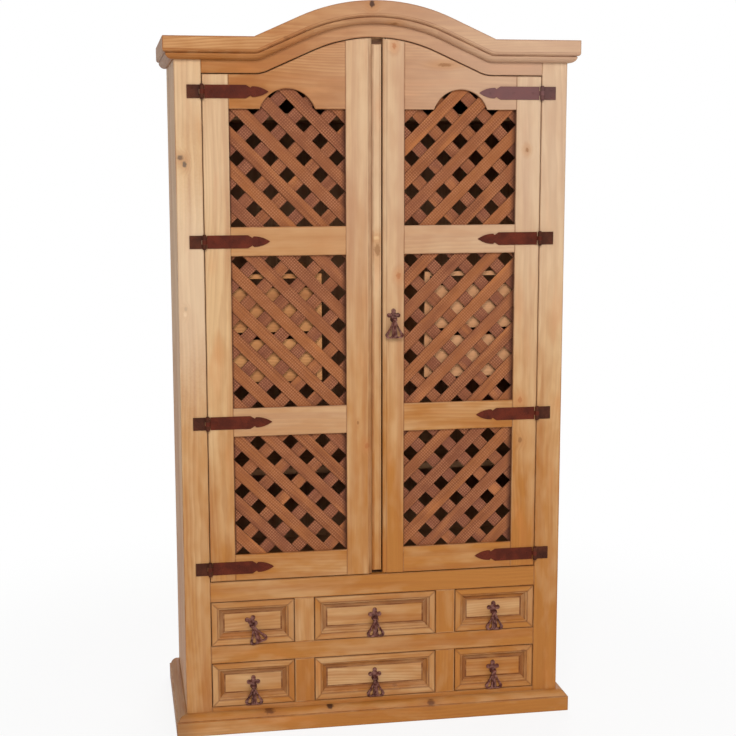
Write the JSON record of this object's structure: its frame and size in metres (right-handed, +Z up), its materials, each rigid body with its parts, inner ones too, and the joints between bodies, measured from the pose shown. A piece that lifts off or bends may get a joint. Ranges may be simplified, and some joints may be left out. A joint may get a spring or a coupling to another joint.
{
  "type": "bar cabinet",
  "caption": "Tall pine bar cabinet with an arched crown, paired lattice doors on iron strap hinges, rows of moulded drawers with iron drop pulls, and inner shelves and bottle racks.",
  "frame": {"origin": "centre of the overall footprint, on the floor", "axes": "+Z up, the front with doors and drawers faces -Y, +X to the right seen from the front"},
  "size_m": [1.16, 0.5, 2.0599],
  "materials": {
    "pine": "waxed knotty pine",
    "inner_pine": "plain sawn pine",
    "lattice_wood": "reddish brown stain",
    "rusted_iron": "rusted wrought iron"
  },
  "bodies": {
    "case": {"left_side_panel": "pine", "right_side_panel": "pine", "back_boards": "inner_pine", "face_stiles": "pine", "arched_top_rail": "pine", "case_top": "pine", "crown_block": "inner_pine", "case_bottom": "inner_pine", "cupboard_floor": "inner_pine", "crown_front": "pine", "crown_returns": "pine", "plinth": "pine", "drawer_rails": "pine", "drawer_mullions": "pine", "drawer_runners": "inner_pine", "shelves": "inner_pine", "shelf_cleats": "inner_pine", "left_bottle_rack": "inner_pine", "right_bottle_rack": "inner_pine", "hinge_frame_leaves": "rusted_iron", "hinge_pins": "rusted_iron"},
    "left_door": {"left_door_hinge_stile": "pine", "left_door_meeting_stile": "pine", "left_door_top_rail": "pine", "left_door_cross_rails": "pine", "left_door_lattice": "lattice_wood", "left_door_hinge_straps": "rusted_iron", "left_door_meeting_strip": "pine"},
    "right_door": {"right_door_hinge_stile": "pine", "right_door_meeting_stile": "pine", "right_door_top_rail": "pine", "right_door_cross_rails": "pine", "right_door_lattice": "lattice_wood", "right_door_hinge_straps": "rusted_iron", "right_door_pull_plate": "rusted_iron"},
    "right_door_bail": {"right_door_pull_bail": "rusted_iron"},
    "upper_left_drawer": {"upper_left_drawer_front": "pine", "upper_left_drawer_box": "inner_pine", "upper_left_pull_plate": "rusted_iron"},
    "upper_left_bail": {"upper_left_pull_bail": "rusted_iron"},
    "upper_middle_drawer": {"upper_middle_drawer_front": "pine", "upper_middle_drawer_box": "inner_pine", "upper_middle_pull_plate": "rusted_iron"},
    "upper_middle_bail": {"upper_middle_pull_bail": "rusted_iron"},
    "upper_right_drawer": {"upper_right_drawer_front": "pine", "upper_right_drawer_box": "inner_pine", "upper_right_pull_plate": "rusted_iron"},
    "upper_right_bail": {"upper_right_pull_bail": "rusted_iron"},
    "lower_left_drawer": {"lower_left_drawer_front": "pine", "lower_left_drawer_box": "inner_pine", "lower_left_pull_plate": "rusted_iron"},
    "lower_left_bail": {"lower_left_pull_bail": "rusted_iron"},
    "lower_middle_drawer": {"lower_middle_drawer_front": "pine", "lower_middle_drawer_box": "inner_pine", "lower_middle_pull_plate": "rusted_iron"},
    "lower_middle_bail": {"lower_middle_pull_bail": "rusted_iron"},
    "lower_right_drawer": {"lower_right_drawer_front": "pine", "lower_right_drawer_box": "inner_pine", "lower_right_pull_plate": "rusted_iron"},
    "lower_right_bail": {"lower_right_pull_bail": "rusted_iron"}
  },
  "joints": [
    {"name": "left_door_hinge", "type": "hinge", "parent": "case", "child": "left_door", "pos_m": [-0.476, -0.2268, 1], "axis": [0, 0, -1], "range_deg": [0, 170]},
    {"name": "right_door_hinge", "type": "hinge", "parent": "case", "child": "right_door", "pos_m": [0.476, -0.2268, 1], "axis": [0, 0, 1], "range_deg": [0, 170]},
    {"name": "right_door_bail_swing", "type": "hinge", "parent": "right_door", "child": "right_door_bail", "pos_m": [0.05237, -0.2355, 1.186], "axis": [-1, 0, 0], "range_deg": [0, 90]},
    {"name": "upper_left_drawer_slide", "type": "slide", "parent": "case", "child": "upper_left_drawer", "axis": [0, -1, 0], "range_m": [0, 0.3]},
    {"name": "upper_left_bail_swing", "type": "hinge", "parent": "upper_left_drawer", "child": "upper_left_bail", "pos_m": [-0.35675, -0.2235, 0.3095], "axis": [-0.9336, 0, -0.3584], "range_deg": [0, 90]},
    {"name": "upper_middle_drawer_slide", "type": "slide", "parent": "case", "child": "upper_middle_drawer", "axis": [0, -1, 0], "range_m": [0, 0.3]},
    {"name": "upper_middle_bail_swing", "type": "hinge", "parent": "upper_middle_drawer", "child": "upper_middle_bail", "pos_m": [0, -0.2235, 0.3095], "axis": [-1, 0, 0], "range_deg": [0, 90]},
    {"name": "upper_right_drawer_slide", "type": "slide", "parent": "case", "child": "upper_right_drawer", "axis": [0, -1, 0], "range_m": [0, 0.3]},
    {"name": "upper_right_bail_swing", "type": "hinge", "parent": "upper_right_drawer", "child": "upper_right_bail", "pos_m": [0.35675, -0.2235, 0.3095], "axis": [-1, 0, 0], "range_deg": [0, 90]},
    {"name": "lower_left_drawer_slide", "type": "slide", "parent": "case", "child": "lower_left_drawer", "axis": [0, -1, 0], "range_m": [0, 0.3]},
    {"name": "lower_left_bail_swing", "type": "hinge", "parent": "lower_left_drawer", "child": "lower_left_bail", "pos_m": [-0.35675, -0.2235, 0.1275], "axis": [-1, 0, 0], "range_deg": [0, 90]},
    {"name": "lower_middle_drawer_slide", "type": "slide", "parent": "case", "child": "lower_middle_drawer", "axis": [0, -1, 0], "range_m": [0, 0.3]},
    {"name": "lower_middle_bail_swing", "type": "hinge", "parent": "lower_middle_drawer", "child": "lower_middle_bail", "pos_m": [0, -0.2235, 0.1275], "axis": [-1, 0, 0], "range_deg": [0, 90]},
    {"name": "lower_right_drawer_slide", "type": "slide", "parent": "case", "child": "lower_right_drawer", "axis": [0, -1, 0], "range_m": [0, 0.3]},
    {"name": "lower_right_bail_swing", "type": "hinge", "parent": "lower_right_drawer", "child": "lower_right_bail", "pos_m": [0.35675, -0.2235, 0.1275], "axis": [-1, 0, 0], "range_deg": [0, 90]}
  ]
}
